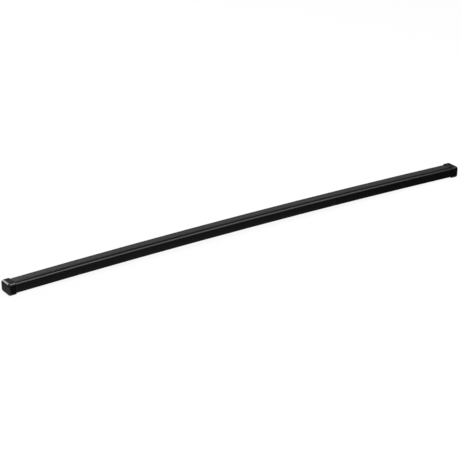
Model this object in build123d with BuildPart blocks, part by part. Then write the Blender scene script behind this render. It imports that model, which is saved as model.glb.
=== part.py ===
from build123d import *
import math
import os

# Roof rack crossbar: a slightly arched steel tube in a black plastic jacket, with a moulded cap on each end.
# Millimetres. +X runs along the bar, +Y across it and +Z up. The origin lies below the middle of the bar,
# on the surface that the two caps rest on.

# Steel tube, rolled from strip
tube_width = 30.0
tube_height = 20.0
tube_wall = 1.5
tube_bend = 0.8  # inner radius of its four bends
bar_length = 1173.0  # along the arch, from one sawn end to the other
camber = 7.6  # how far the middle of the bar stands above its ends

# Plastic jacket, extruded around the tube
jacket_wall = 0.95
jacket_fit = 0.05  # between tube and jacket
crown_height = 0.8  # how far the jacket's top stands higher in the middle than beside its corners
groove_count = 9  # grooves that leave the grip ribs, in the middle of the top
groove_pitch = 1.5
groove_depth = 0.45
crest_width = 0.3  # flat top of each rib

# End caps, moulded
skirt_wall = 2.4
skirt_depth = 14.4  # how far the skirt reaches back over the jacket
skirt_fit = 0.1  # between jacket and skirt
floor_wall = 3.6  # end wall that the bar butts against
cap_corner = 6.6  # outer corners of the skirt
end_round = 5.5  # edges of the closed end
rim_round = 0.9  # outer edge of the skirt's open end
plug_wall = 1.6
plug_gap = 0.6  # between the plug's walls and the tube
plug_depth = 24.0
plug_ribs_across = 3  # crush ribs on the plug's top, and as many below
plug_ribs_up = 2  # crush ribs on each of its sides
plug_rib_width = 1.2
plug_rib_fit = 0.1  # between the crush ribs and the tube
plug_lead_in = 4.0  # end of the plug that has no crush ribs

# Stretch of the bar's sides that a foot can clamp
jaw_clearance = 1.0  # from the skirts' open ends

# Sizes that follow
tube_corner = tube_bend + tube_wall
bore_width = tube_width - 2 * tube_wall
bore_height = tube_height - 2 * tube_wall
sleeve_width = tube_width + 2 * jacket_fit
sleeve_height = tube_height + 2 * jacket_fit
sleeve_corner = tube_corner + jacket_fit
bar_width = sleeve_width + 2 * jacket_wall
bar_height = sleeve_height + 2 * jacket_wall
bar_corner = sleeve_corner + jacket_wall
crown_reach = bar_width / 2 - bar_corner  # from the middle of the bar to the centres of its corners
crown_bend = (crown_reach**2 + crown_height**2) / (2 * crown_height)
crown_radius = crown_bend + bar_corner  # of the arc that runs smoothly into both corners
crown_turn = math.asin(crown_reach / crown_bend)
groove_fan = math.degrees((groove_count - 1) * groove_pitch / crown_radius)
cap_width = bar_width + 2 * (skirt_fit + skirt_wall)
cap_height = bar_height + 2 * (skirt_fit + skirt_wall)
end_edge = min(end_round, 0.9 * cap_corner)
plug_width = bore_width - 2 * plug_gap
plug_height = bore_height - 2 * plug_gap
half_run = bar_length / 2
clamp_run = half_run - skirt_depth - jaw_clearance

# Arch: its radius, half its angle, and the height of the bar's centre line at the ends and in the middle
arch_radius = bar_length**2 / (8 * camber)
arch_angle = half_run / arch_radius
round_out = floor_wall - end_edge
round_down = cap_height / 2 - end_edge
end_height = round_out * math.sin(arch_angle) + round_down * math.cos(arch_angle) + end_edge
middle_height = end_height + arch_radius * (1 - math.cos(arch_angle))
arch_axis = Axis((0, 0, middle_height - arch_radius), (0, 1, 0))


def across_bar(run):
    """The plane across the bar, facing +X, at this distance along the arch from its middle."""
    angle = run / arch_radius
    drop = arch_radius * (1 - math.cos(angle))
    centre = (arch_radius * math.sin(angle), 0, middle_height - drop)
    return Plane(origin=centre, x_dir=(0, 1, 0), z_dir=(math.cos(angle), 0, -math.sin(angle)))


def arch_between(start, stop):
    """The angle, in degrees, that the arch turns through between two distances from its middle."""
    return math.degrees((stop - start) / arch_radius)


def bar_section(room=0.0):
    """The bar's outline, with its crowned top, drawn this much larger all round."""
    corner = bar_corner + room
    crown_side = crown_reach + corner * math.sin(crown_turn)
    crown_foot = bar_height / 2 - bar_corner + corner * math.cos(crown_turn)
    with BuildSketch() as section:
        RectangleRounded(bar_width + 2 * room, bar_height + 2 * room, corner)
        with BuildLine():
            top = ThreePointArc(
                (-crown_side, crown_foot),
                (0, bar_height / 2 + crown_height + room),
                (crown_side, crown_foot),
            )
            Line(top @ 1, top @ 0)
        make_face()
    return section.sketch


def jacket_skin(start, stop):
    """The faces of the jacket between two distances from its middle, from its left cut to its right one."""
    outline = bar_section()
    half_groove = (groove_pitch - crest_width) / 2
    with BuildPart() as stretch:
        with BuildSketch(across_bar(start)):
            add(outline)
            RectangleRounded(sleeve_width, sleeve_height, sleeve_corner, mode=Mode.SUBTRACT)
            with Locations((0, bar_height / 2 + crown_height - crown_radius)):
                with PolarLocations(crown_radius, groove_count, 90 - groove_fan / 2, groove_fan, endpoint=True):
                    Polygon(
                        (0, -half_groove),
                        (-groove_depth, 0),
                        (0, half_groove),
                        (jacket_wall, half_groove),
                        (jacket_wall, -half_groove),
                        mode=Mode.SUBTRACT,
                    )
        revolve(axis=arch_axis, revolution_arc=arch_between(start, stop))
    return stretch.faces().sort_by(Axis.X)


def end_cap(seat):
    """A cap for the end of the bar that lies on this plane, which faces out of the bar."""
    outward = Axis(seat.origin, seat.z_dir)
    pocket = bar_section(skirt_fit)
    with BuildPart() as cap:
        # Outer block, with its closed end well rounded and its open rim eased
        with BuildSketch(seat.offset(-skirt_depth)):
            RectangleRounded(cap_width, cap_height, cap_corner)
        extrude(amount=skirt_depth + floor_wall)
        fillet(cap.faces().sort_by(outward)[-1].edges(), end_edge)
        fillet(cap.faces().sort_by(outward)[0].edges(), rim_round)

        # Pocket that slips over the jacket
        with BuildSketch(seat):
            add(pocket)
        extrude(amount=-skirt_depth, mode=Mode.SUBTRACT)

        # Hollow plug that goes into the tube
        with BuildSketch(seat):
            Rectangle(plug_width, plug_height)
            Rectangle(plug_width - 2 * plug_wall, plug_height - 2 * plug_wall, mode=Mode.SUBTRACT)
        extrude(amount=-plug_depth)

        # Crush ribs that hold the plug in the tube
        rib_height = plug_gap - plug_rib_fit
        with BuildSketch(seat):
            for side in (-1, 1):
                with Locations((0, side * (plug_height + rib_height) / 2)):
                    with GridLocations(plug_width / plug_ribs_across, 0, plug_ribs_across, 1):
                        Rectangle(plug_rib_width, rib_height)
                with Locations((side * (plug_width + rib_height) / 2, 0)):
                    with GridLocations(0, plug_height / plug_ribs_up, 1, plug_ribs_up):
                        Rectangle(rib_height, plug_rib_width)
        extrude(amount=-(plug_depth - plug_lead_in))
    return cap.part


# Steel tube
with BuildPart() as steel_tube:
    with BuildSketch(across_bar(-half_run)):
        RectangleRounded(tube_width, tube_height, tube_corner)
        RectangleRounded(bore_width, bore_height, tube_bend, mode=Mode.SUBTRACT)
    revolve(axis=arch_axis, revolution_arc=arch_between(-half_run, half_run))

# Plastic jacket, joined from three stretches without the cuts between them, so that the stretch of its sides
# that a foot can clamp stays as faces of its own
left_skin = jacket_skin(-half_run, -clamp_run)
clamp_skin = jacket_skin(-clamp_run, clamp_run)
right_skin = jacket_skin(clamp_run, half_run)
with BuildPart() as plastic_jacket:
    add(Solid(Shell(left_skin[:-1] + clamp_skin[1:-1] + right_skin[1:])), clean=False)

# End caps, on the planes of the bar's two ends
right_seat = across_bar(half_run)
left_end = across_bar(-half_run)
left_seat = Plane(origin=left_end.origin, x_dir=-left_end.x_dir, z_dir=-left_end.z_dir)

os.makedirs("parts", exist_ok=True)
pieces = {
    "steel_tube": steel_tube.part,
    "plastic_jacket": plastic_jacket.part,
    "left_end_cap": end_cap(left_seat),
    "right_end_cap": end_cap(right_seat),
}
for name, piece in pieces.items():
    piece.label = name
    export_step(piece, f"parts/{name}.step")
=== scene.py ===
import math
import bmesh
import bpy
from mathutils import Matrix, Vector

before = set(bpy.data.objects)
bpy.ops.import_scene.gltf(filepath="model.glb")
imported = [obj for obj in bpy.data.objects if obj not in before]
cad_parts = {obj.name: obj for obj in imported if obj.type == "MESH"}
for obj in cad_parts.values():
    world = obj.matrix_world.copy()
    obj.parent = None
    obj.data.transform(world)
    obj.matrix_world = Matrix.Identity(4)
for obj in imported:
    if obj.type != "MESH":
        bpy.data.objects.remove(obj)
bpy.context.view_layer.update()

# Roof rack crossbar. All of its shape is in the frame: this script adds its finishes, the floor, the light
# and the camera. Lengths are in metres. A pattern's scale is per metre along X, Y and Z. A name that ends in
# FADE holds the two values between which a smooth step runs. A bump is a pattern's depth and its strength.
MM = 0.001
NOISE_DETAIL = 3.0
GRAIN_DETAIL = 2.0
SATIN_IOR = 1.5

# Plastic jacket: where its ribbed strip and its top corners lie. The fades are in how far a face turns up,
# from 0 on the bar's sides to 1 on its top
RIB_STRIP_HALF_WIDTH = 6.75 * MM
RIB_STRIP_EDGE = 0.3 * MM
RIB_FACING_FADE = (0.4, 0.6)
CORNER_FOOT_FADE = (0.15, 0.4)
CORNER_HEAD_FADE = (0.95, 0.99)

# Plastic jacket: its colours, and how far each pattern takes it from the black to the grey
# The ribbed strip's paler grey is a painted sheen, for the light that its ribs catch from above
JACKET_BLACK = (0.0022, 0.0023, 0.0025, 1.0)
JACKET_SHEEN_AND_TONE_GREY = (0.0224, 0.0226, 0.0234, 1.0)
RIB_SHEEN_PALE = 0.85
RIB_SHEEN_LINES_PALE = 0.3
JACKET_CLOUD_PALE = 0.05
STREAKS_PALE = 0.05

# Plastic jacket: its patterns, its roughness, and the satin of its rubbed places
DRAW_LINE_SCALE = (6.0, 2600.0, 2600.0)
DRAW_LINE_BUMP = (0.02 * MM, 0.5)
STREAK_FADE = (0.45, 0.7)
JACKET_CLOUD_SCALE = (9.0, 60.0, 60.0)
JACKET_GRAIN_SCALE = (2600.0, 2600.0, 2600.0)
JACKET_GRAIN_BUMP = (0.02 * MM, 0.4)
JACKET_IOR = 1.17
JACKET_ROUGHNESS = 0.22
DRAW_LINES_ROUGHER = 0.08
JACKET_CLOUD_ROUGHER = 0.05
RIBS_ROUGHER = 0.1
CORNER_SATIN = 0.66
RIB_SATIN = 0.09
JACKET_SATIN_PLAIN = 0.8
JACKET_SATIN_CLOUD = 0.2
JACKET_SATIN_STREAKS = 0.3
JACKET_SATIN_ROUGHNESS = 0.22

# End caps: their rounded edges face no axis squarely. The top edges are rubbed, and the end edges less
CAP_EDGE_FADE = (0.955, 0.9985)
CAP_TOP_FADE = (0.5, 0.75)
CAP_END_FADE = (0.1, 0.3)
CAP_END_WEAR = 0.7

# End caps: their colours, patterns, roughness, and the satin of their rubbed edges
CAP_BLACK = (0.0012, 0.0012, 0.0013, 1.0)
CAP_SPECKLE_GREY = (0.0052, 0.0053, 0.0056, 1.0)
CAP_CLOUD_PALE = 0.4
CAP_SPECKLE_PALE = 0.6
CAP_CLOUD_SCALE = (90.0, 90.0, 90.0)
CAP_GRAIN_SCALE = (3400.0, 3400.0, 3400.0)
CAP_PIT_SCALE = (1900.0, 1900.0, 1900.0)
CAP_SPECKLE_FADE = (0.4, 0.62)
CAP_GRAIN_HEIGHT = 0.6
CAP_PIT_HEIGHT = 0.4
CAP_BUMP = (0.03 * MM, 0.35)
CAP_IOR = 1.1
CAP_ROUGHNESS = 0.26
CAP_CLOUD_ROUGHER = 0.06
CAP_PITS_ROUGHER = 0.05
CAP_SATIN_PLAIN = 0.62
CAP_SATIN_CLOUD = 0.2
CAP_SATIN_SPECKLE = 0.36
CAP_SATIN_ROUGHNESS = 0.18

# Steel tube
ZINC_DARK = (0.42, 0.43, 0.44, 1.0)
ZINC_PALE = (0.62, 0.63, 0.64, 1.0)
SPANGLE_SCALE = (140.0, 220.0, 220.0)
SPANGLE_PALE = 0.6
ROLLING_LINE_SCALE = (8.0, 1800.0, 1800.0)
ROLLING_LINE_BUMP = (0.02 * MM, 0.3)
ROLLING_LINES_PALE = 0.4
STEEL_ROUGHNESS = 0.34
SPANGLE_ROUGHER = 0.12
ROLLING_LINES_ROUGHER = 0.06

# Floor: a white share that gives its own light, and a pale one that takes the bar's shadow. In reflections
# the white is only a painted pool of light under the bar, centred towards its left end. Its fade is in
# squared parts of its half sizes, from its centre
FLOOR_RADIUS = 9.0
FLOOR_SIDES = 96
FLOOR_COLOUR = (0.9, 0.9, 0.9, 1.0)
FLOOR_WHITE_SHARE = 0.92
POOL_CENTRE = -0.25
POOL_HALF_LENGTH = 0.7
POOL_HALF_WIDTH = 0.075
POOL_FADE = (0.0, 1.5)

# Room: its level, and that of a pale cove around its foot, which is dimmer on the right. The cove's top, and
# half of the height over which it fades, are in degrees
ROOM_LEVEL = 0.2
COVE_LEVEL = 0.62
COVE_RIGHT_LEVEL = 0.3
COVE_RIGHT_FADE = (0.48, 0.66)
COVE_TOP = 25.5
COVE_HALF_FADE = 3.0

# Lamps: each softbox has a place, a point it faces, the way its longer side runs, a size and a radiance
LAMP_COLOUR = (0.99, 0.99, 1.02)
SOFTBOXES = {
    "overhead_softbox": {
        "place": (0.65, -0.99, 2.4),
        "aim": (-0.75, 0.0, 0.0),
        "long_way": (0.0, 0.92, 0.38),
        "size": (4.2, 3.3),
        "radiance": 2.4,
    },
    "left_strip_light": {
        "place": (-0.77, 2.11, 1.15),
        "aim": (-0.58, 0.0, 0.0),
        "long_way": (-1.0, 0.0, 0.0),
        "size": (2.1, 1.0),
        "radiance": 5.7,
    },
    "left_end_light": {
        "place": (-0.1, -0.25, 1.2),
        "aim": (-0.5, 0.0, 0.0),
        "long_way": (0.0, 1.0, 0.0),
        "size": (0.7, 0.45),
        "radiance": 2.2,
    },
}

# Camera, as the photograph was taken: angles in degrees, sensor and lens in millimetres
VIEW_AZIMUTH = 33.15
VIEW_ELEVATION = 23.37
VIEW_ROLL = -0.32
VIEW_DISTANCE = 3.807
VIEW_TARGET = Vector((-0.0431, 0.0, 0.0101))
SENSOR = 36.0
LENS = 136.19

# Places of the Mix node's sockets for colours, which share their names with those for other kinds
MIX_SHARE = 0
MIX_FIRST = 6
MIX_SECOND = 7
MIX_RESULT = 2


class Value:
    """A value inside a node tree. Arithmetic on it adds Math nodes to that tree."""

    def __init__(self, finish, socket):
        self.finish = finish
        self.socket = socket

    def _math(self, operation, first, second):
        return self.finish.node("ShaderNodeMath", {"operation": operation}, {0: first, 1: second})

    def __add__(self, other):
        return self._math("ADD", self, other)

    def __radd__(self, other):
        return self._math("ADD", other, self)

    def __sub__(self, other):
        return self._math("SUBTRACT", self, other)

    def __rsub__(self, other):
        return self._math("SUBTRACT", other, self)

    def __mul__(self, other):
        return self._math("MULTIPLY", self, other)

    def __rmul__(self, other):
        return self._math("MULTIPLY", other, self)

    def larger(self, other):
        return self._math("MAXIMUM", self, other)


class Finish:
    """The node tree of a material, or of the room, which is built up by expressions on Values."""

    def __init__(self, tree):
        self.tree = tree
        self.tree.nodes.clear()

    def node(self, kind, settings=None, sockets=None, output=0):
        """Adds a node, sets its settings, then its sockets, and gives one of its outputs."""
        made = self.tree.nodes.new(kind)
        for name, setting in (settings or {}).items():
            setattr(made, name, setting)
        for name, given in (sockets or {}).items():
            if isinstance(given, Value):
                self.tree.links.new(given.socket, made.inputs[name])
            else:
                made.inputs[name].default_value = given
        return Value(self, made.outputs[output]) if made.outputs else None

    def place(self, scale=(1.0, 1.0, 1.0)):
        """Where the surface lies, in the object's own axes, scaled along each of them."""
        where = self.node("ShaderNodeTexCoord", output="Object")
        return self.node("ShaderNodeMapping", {}, {"Vector": where, "Scale": scale})

    def facing(self):
        """The way the surface faces, in the object's own axes."""
        return self.node("ShaderNodeTexCoord", output="Normal")

    def axis(self, vector, name):
        return self.node("ShaderNodeSeparateXYZ", {}, {"Vector": vector}, output=name)

    def size(self, value):
        """The value without its sign."""
        return self.node("ShaderNodeMath", {"operation": "ABSOLUTE"}, {0: value})

    def noise(self, scale, detail):
        sockets = {"Vector": self.place(scale), "Scale": 1.0, "Detail": detail}
        return self.node("ShaderNodeTexNoise", {}, sockets)

    def cells(self, scale, output="Distance"):
        """Random cells: the distance from their points, or the Color that each has."""
        return self.node("ShaderNodeTexVoronoi", {}, {"Vector": self.place(scale), "Scale": 1.0}, output)

    def step(self, value, low, high, start=0.0, stop=1.0):
        """A smooth step of value from low to high, which gives start to stop."""
        limits = {"Value": value, "From Min": low, "From Max": high, "To Min": start, "To Max": stop}
        return self.node("ShaderNodeMapRange", {"interpolation_type": "SMOOTHSTEP"}, limits)

    def fall(self, value, low, high):
        """A smooth step of value from low to high, which gives 1 to 0."""
        return self.step(value, low, high, 1.0, 0.0)

    def colours(self, share, first, second):
        """A mix of two colours, from the first to the second."""
        sockets = {MIX_SHARE: share, MIX_FIRST: first, MIX_SECOND: second}
        return self.node("ShaderNodeMix", {"data_type": "RGBA"}, sockets, MIX_RESULT)

    def bump(self, height, depth, strength, under=None):
        """A normal with bumps of this height, on another normal where there is one under it."""
        sockets = {"Height": height, "Distance": depth, "Strength": strength}
        if under is not None:
            sockets["Normal"] = under
        return self.node("ShaderNodeBump", {}, sockets)

    def principled(self, sockets):
        """Ends the material with a Principled shader."""
        self.surface(self.node("ShaderNodeBsdfPrincipled", {}, sockets))

    def surface(self, shader):
        self.node("ShaderNodeOutputMaterial", {}, {"Surface": shader})


def new_material(name):
    """An empty material, and the Finish that builds it up."""
    material = bpy.data.materials.new(name)
    material.use_nodes = True
    return material, Finish(material.node_tree)


def jacket_plastic():
    """Extruded black plastic: draw lines along the bar, a ribbed strip in a paler grey of painted sheen, and
    rubbed top corners.
    """
    material, finish = new_material("jacket_plastic")
    across = finish.size(finish.axis(finish.place(), "Y"))
    facing_up = finish.axis(finish.facing(), "Z")
    strip = finish.fall(across, RIB_STRIP_HALF_WIDTH - RIB_STRIP_EDGE, RIB_STRIP_HALF_WIDTH + RIB_STRIP_EDGE)
    ribbed = strip * finish.step(facing_up, *RIB_FACING_FADE)
    corner = finish.step(facing_up, *CORNER_FOOT_FADE) * finish.fall(facing_up, *CORNER_HEAD_FADE)
    rubbed = corner * (1 - strip)

    draw_lines = finish.noise(DRAW_LINE_SCALE, NOISE_DETAIL)
    streaks = finish.step(draw_lines, *STREAK_FADE)
    cloud = finish.noise(JACKET_CLOUD_SCALE, NOISE_DETAIL)
    grain = finish.noise(JACKET_GRAIN_SCALE, GRAIN_DETAIL)

    # Painted sheen: the ribbed strip is coloured paler, for the light that its ribs catch from above
    rib_painted_sheen = ribbed * (RIB_SHEEN_PALE + draw_lines * RIB_SHEEN_LINES_PALE)
    pale = rib_painted_sheen + cloud * JACKET_CLOUD_PALE + streaks * STREAKS_PALE
    lined_rough = JACKET_ROUGHNESS + draw_lines * DRAW_LINES_ROUGHER
    satin = JACKET_SATIN_PLAIN + cloud * JACKET_SATIN_CLOUD + streaks * JACKET_SATIN_STREAKS
    lined = finish.bump(draw_lines, *DRAW_LINE_BUMP)
    finish.principled(
        {
            "Base Color": finish.colours(pale, JACKET_BLACK, JACKET_SHEEN_AND_TONE_GREY),
            "Roughness": lined_rough + cloud * JACKET_CLOUD_ROUGHER + ribbed * RIBS_ROUGHER,
            "IOR": JACKET_IOR,
            "Coat Weight": (rubbed * CORNER_SATIN + ribbed * RIB_SATIN) * satin,
            "Coat Roughness": JACKET_SATIN_ROUGHNESS,
            "Coat IOR": SATIN_IOR,
            "Normal": finish.bump(grain, *JACKET_GRAIN_BUMP, lined),
        }
    )
    return material


def cap_plastic():
    """Moulded black plastic: fine grain from a spark-eroded mould, rubbed on its top and end edges."""
    material, finish = new_material("cap_plastic")
    facing = finish.facing()
    along, across, up = (finish.axis(facing, name) for name in "XYZ")
    squarest = finish.size(along).larger(finish.size(across)).larger(finish.size(up))
    edge = finish.fall(squarest, *CAP_EDGE_FADE)
    end_wear = finish.step(finish.size(along), *CAP_END_FADE) * CAP_END_WEAR
    rubbed = edge * finish.step(up, *CAP_TOP_FADE).larger(end_wear)

    cloud = finish.noise(CAP_CLOUD_SCALE, NOISE_DETAIL)
    grain = finish.noise(CAP_GRAIN_SCALE, GRAIN_DETAIL)
    speckle = finish.step(grain, *CAP_SPECKLE_FADE)
    pits = finish.cells(CAP_PIT_SCALE)

    pale = cloud * CAP_CLOUD_PALE + speckle * CAP_SPECKLE_PALE
    satin = CAP_SATIN_PLAIN + cloud * CAP_SATIN_CLOUD + speckle * CAP_SATIN_SPECKLE
    height = grain * CAP_GRAIN_HEIGHT + pits * CAP_PIT_HEIGHT
    finish.principled(
        {
            "Base Color": finish.colours(pale, CAP_BLACK, CAP_SPECKLE_GREY),
            "Roughness": CAP_ROUGHNESS + cloud * CAP_CLOUD_ROUGHER + pits * CAP_PITS_ROUGHER,
            "IOR": CAP_IOR,
            "Coat Weight": rubbed * satin,
            "Coat Roughness": CAP_SATIN_ROUGHNESS,
            "Coat IOR": SATIN_IOR,
            "Normal": finish.bump(height, *CAP_BUMP),
        }
    )
    return material


def zinc_coated_steel():
    """Dull galvanised strip: faint spangle, and rolling lines along the tube."""
    material, finish = new_material("zinc_coated_steel")
    spangle = finish.axis(finish.cells(SPANGLE_SCALE, "Color"), "X")
    lines = finish.noise(ROLLING_LINE_SCALE, NOISE_DETAIL)
    pale = spangle * SPANGLE_PALE + lines * ROLLING_LINES_PALE
    finish.principled(
        {
            "Base Color": finish.colours(pale, ZINC_DARK, ZINC_PALE),
            "Metallic": 1.0,
            "Roughness": STEEL_ROUGHNESS + spangle * SPANGLE_ROUGHER + lines * ROLLING_LINES_ROUGHER,
            "Normal": finish.bump(lines, *ROLLING_LINE_BUMP),
        }
    )
    return material


def floor_white():
    """White for the camera, less the bar's shadow, a painted pool of white light in reflections, and pale
    for other light.
    """
    material, finish = new_material("floor_white")
    camera, glossy, through = (
        finish.node("ShaderNodeLightPath", output=kind)
        for kind in ("Is Camera Ray", "Is Glossy Ray", "Is Transmission Ray")
    )
    looked_at = camera.larger(glossy).larger(through)
    along = (finish.axis(finish.place(), "X") - POOL_CENTRE) * (1 / POOL_HALF_LENGTH)
    across = finish.axis(finish.place(), "Y") * (1 / POOL_HALF_WIDTH)
    # Painted pool of light: in reflections the floor glows white only here, centred towards the bar's left
    # end
    pool = finish.fall(along * along + across * across, *POOL_FADE)
    pale = finish.node("ShaderNodeBsdfDiffuse", {}, {"Color": FLOOR_COLOUR})
    white = finish.node("ShaderNodeEmission", {}, {"Color": pool.larger(camera), "Strength": 1.0})
    share = looked_at * FLOOR_WHITE_SHARE
    finish.surface(finish.node("ShaderNodeMixShader", {}, {0: share, 1: pale, 2: white}))
    return material


def floor_disc():
    """The floor that the caps rest on."""
    mesh = bpy.data.meshes.new("floor")
    shape = bmesh.new()
    bmesh.ops.create_circle(shape, cap_ends=True, segments=FLOOR_SIDES, radius=FLOOR_RADIUS)
    shape.to_mesh(mesh)
    shape.free()
    floor = bpy.data.objects.new("floor", mesh)
    bpy.context.scene.collection.objects.link(floor)
    floor.data.materials.append(floor_white())


def softbox(name, place, aim, long_way, size, radiance):
    """A soft lamp at place that faces aim, with its longer side along long_way."""
    lamp = bpy.data.lights.new(name, "AREA")
    lamp.shape = "RECTANGLE"
    lamp.size, lamp.size_y = size
    lamp.energy = radiance * math.pi * size[0] * size[1]
    lamp.color = LAMP_COLOUR
    holder = bpy.data.objects.new(name, lamp)
    back = (Vector(place) - Vector(aim)).normalized()
    along = (Vector(long_way) - back * back.dot(Vector(long_way))).normalized()
    turn = Matrix((along, back.cross(along), back)).transposed().to_4x4()
    holder.matrix_world = Matrix.Translation(place) @ turn
    bpy.context.scene.collection.objects.link(holder)


def room_light():
    """A dim room with a pale cove around its foot, dimmer on the right. The camera sees it white."""
    world = bpy.data.worlds.new("studio")
    world.use_nodes = True
    finish = Finish(world.node_tree)
    way = finish.node("ShaderNodeTexCoord", output="Generated")
    low, high = (math.sin(math.radians(COVE_TOP + side * COVE_HALF_FADE)) for side in (-1, 1))
    in_cove = finish.fall(finish.axis(way, "Z"), low, high)
    cove = finish.step(finish.axis(way, "X"), *COVE_RIGHT_FADE, COVE_LEVEL, COVE_RIGHT_LEVEL)
    level = ROOM_LEVEL + (cove - ROOM_LEVEL) * in_cove
    looked_at = finish.node("ShaderNodeLightPath", output="Is Camera Ray")
    glow = finish.node("ShaderNodeBackground", {}, {"Color": level.larger(looked_at)})
    finish.node("ShaderNodeOutputWorld", {}, {"Surface": glow})
    bpy.context.scene.world = world


def photo_camera():
    """The camera at the photograph's place, turned about its line of sight by the roll."""
    azimuth, elevation = math.radians(VIEW_AZIMUTH), math.radians(VIEW_ELEVATION)
    back = Vector(
        (
            -math.sin(azimuth) * math.cos(elevation),
            -math.cos(azimuth) * math.cos(elevation),
            math.sin(elevation),
        )
    )
    place = VIEW_TARGET + back * VIEW_DISTANCE
    turn = (VIEW_TARGET - place).to_track_quat("-Z", "Y").to_matrix().to_4x4()
    roll = Matrix.Rotation(math.radians(VIEW_ROLL), 4, "Z")
    data = bpy.data.cameras.new("photo_camera")
    data.sensor_width = SENSOR
    data.lens = LENS
    camera = bpy.data.objects.new("photo_camera", data)
    camera.matrix_world = Matrix.Translation(place) @ turn @ roll
    bpy.context.scene.collection.objects.link(camera)
    bpy.context.scene.camera = camera


def dress(node, material):
    """Gives a node of the frame this material."""
    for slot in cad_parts[node].material_slots:
        slot.material = material


bpy.context.scene.view_settings.view_transform = "Standard"
dress("plastic_jacket", jacket_plastic())
dress("steel_tube", zinc_coated_steel())
moulded = cap_plastic()
for end in ("left_end_cap", "right_end_cap"):
    dress(end, moulded)

floor_disc()
for name, settings in SOFTBOXES.items():
    softbox(name, **settings)
room_light()
photo_camera()
